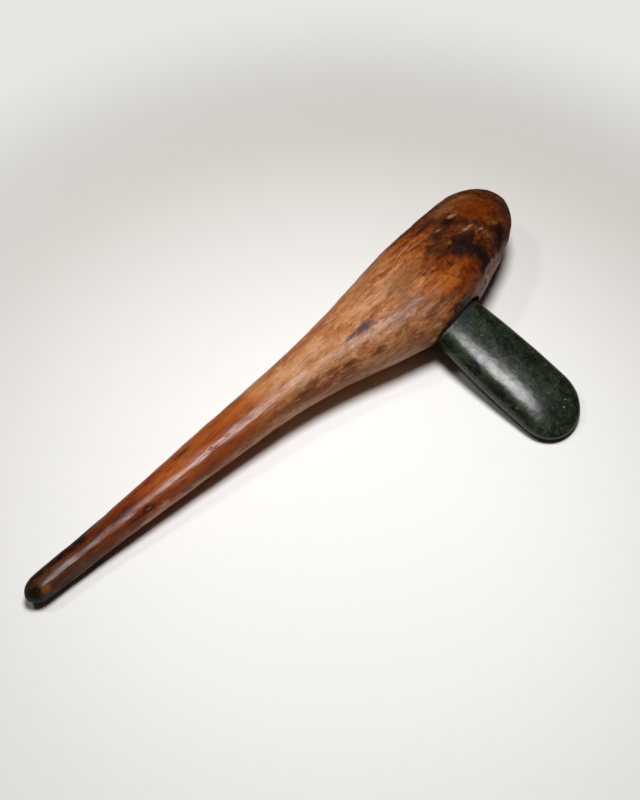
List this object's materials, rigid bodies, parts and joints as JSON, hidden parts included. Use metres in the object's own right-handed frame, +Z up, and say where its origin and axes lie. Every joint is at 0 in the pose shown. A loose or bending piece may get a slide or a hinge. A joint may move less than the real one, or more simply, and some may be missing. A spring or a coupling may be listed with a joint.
{
  "type": "hafted jadeite axe",
  "caption": "Hafted stone axe lying on its side: a polished green jadeite axe head with a rounded cutting edge, set in a socket in the swollen end of a club-shaped wooden haft.",
  "frame": {"origin": "middle of the footprint, on the surface that the axe lies on", "axes": "+X along the haft from its butt to its nose, -Y the way the cutting edge points, +Z up from the surface that the axe lies on"},
  "size_m": [0.614, 0.2572, 0.0876],
  "materials": {
    "haft_wood": "old, dark reddish-brown hardwood, worn smooth and waxed to a gloss, paler along the middle, with dark stains, knots and pits",
    "green_stone": "dark green mottled jadeite, ground and polished to a soft gloss, with paler green flecks and cloudy patches"
  },
  "bodies": {
    "root": {"haft": "haft_wood", "axe_head": "green_stone"}
  },
  "joints": []
}
